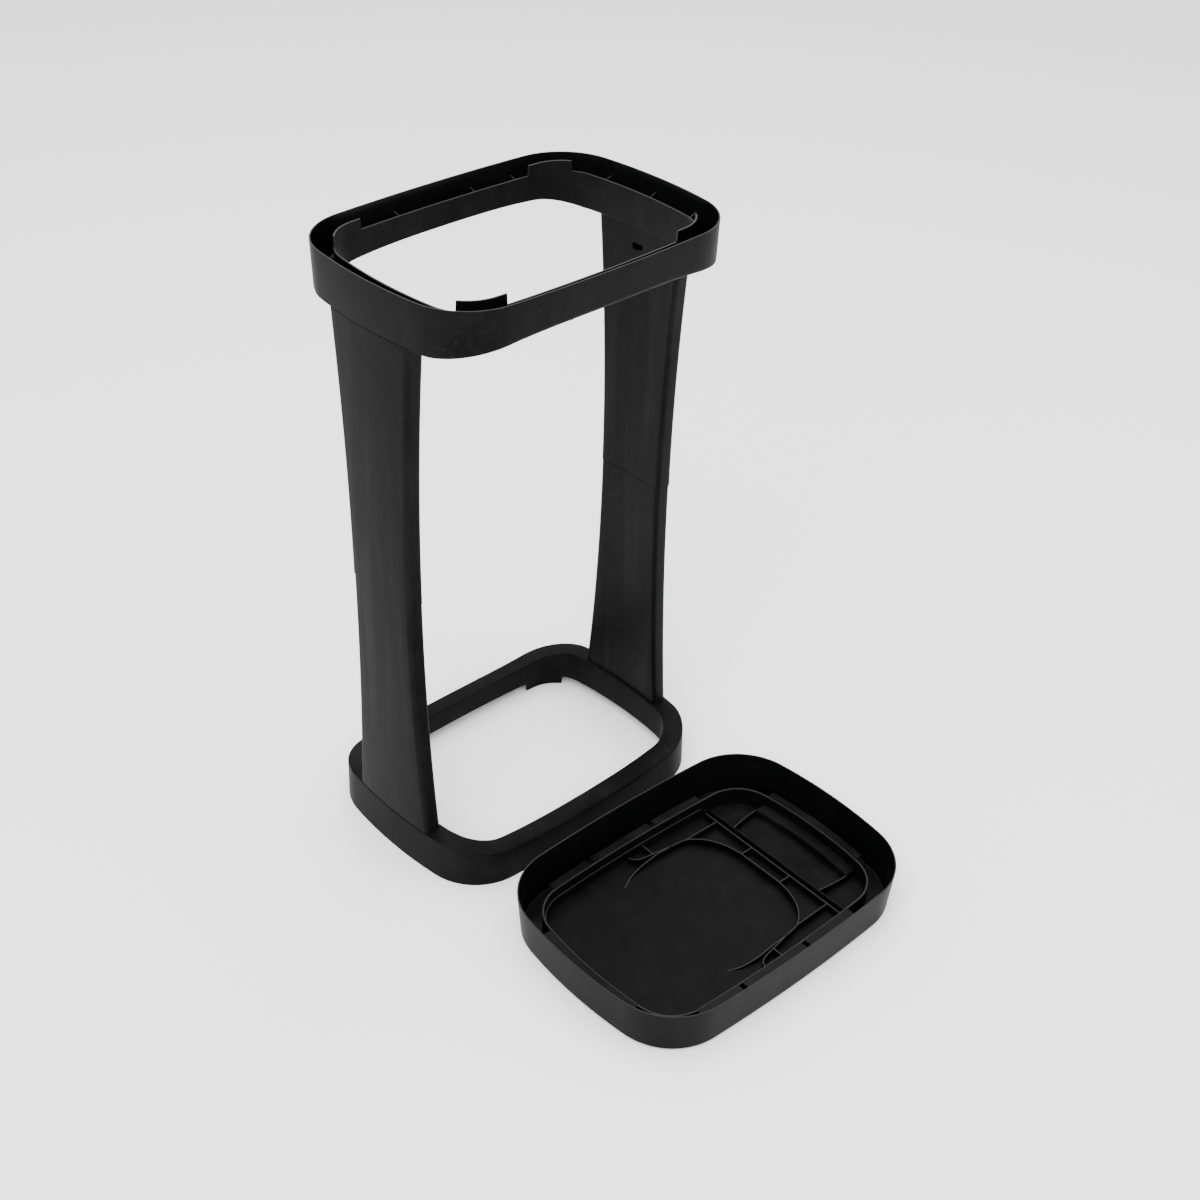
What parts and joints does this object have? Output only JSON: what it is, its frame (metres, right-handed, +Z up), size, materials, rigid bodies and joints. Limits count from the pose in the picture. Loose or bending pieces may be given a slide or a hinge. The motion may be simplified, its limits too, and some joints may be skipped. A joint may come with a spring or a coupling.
{
  "type": "refuse sack stand",
  "caption": "Free-standing holder that keeps a refuse sack open between a channelled top ring and a matching base ring on waisted legs, with a hinged-flap lid lying beside it.",
  "frame": {"origin": "on the floor, at the middle of the box round the stand and its lid together", "axes": "+Z up; X along the stand's long side; the lid lies on the -Y side with its hinge towards +X"},
  "size_m": [0.415, 0.6212, 0.733],
  "materials": {
    "ring_plastic": "satin black moulding, fine grain",
    "leg_plastic": "satin black moulding, fine grain",
    "lid_plastic": "satin black moulding, fine grain",
    "flap_plastic": "matt black moulding inside, satin outside"
  },
  "bodies": {
    "stand": {"top_ring": "ring_plastic", "base_ring": "ring_plastic", "left_leg_upper": "leg_plastic", "left_leg_lower": "leg_plastic", "right_leg_upper": "leg_plastic", "right_leg_lower": "leg_plastic"},
    "lid": {"lid_frame": "lid_plastic"},
    "flap": {"lid_flap": "flap_plastic"}
  },
  "joints": [
    {"name": "lid_lift", "type": "slide", "parent": "stand", "child": "lid", "axis": [0, 0, 1], "range_m": [0, 0.3]},
    {"name": "flap_hinge", "type": "hinge", "parent": "lid", "child": "flap", "pos_m": [0.10946, -0.16226, 0.003], "axis": [-0.0262, -0.9997, 0], "range_deg": [0, 95]}
  ]
}
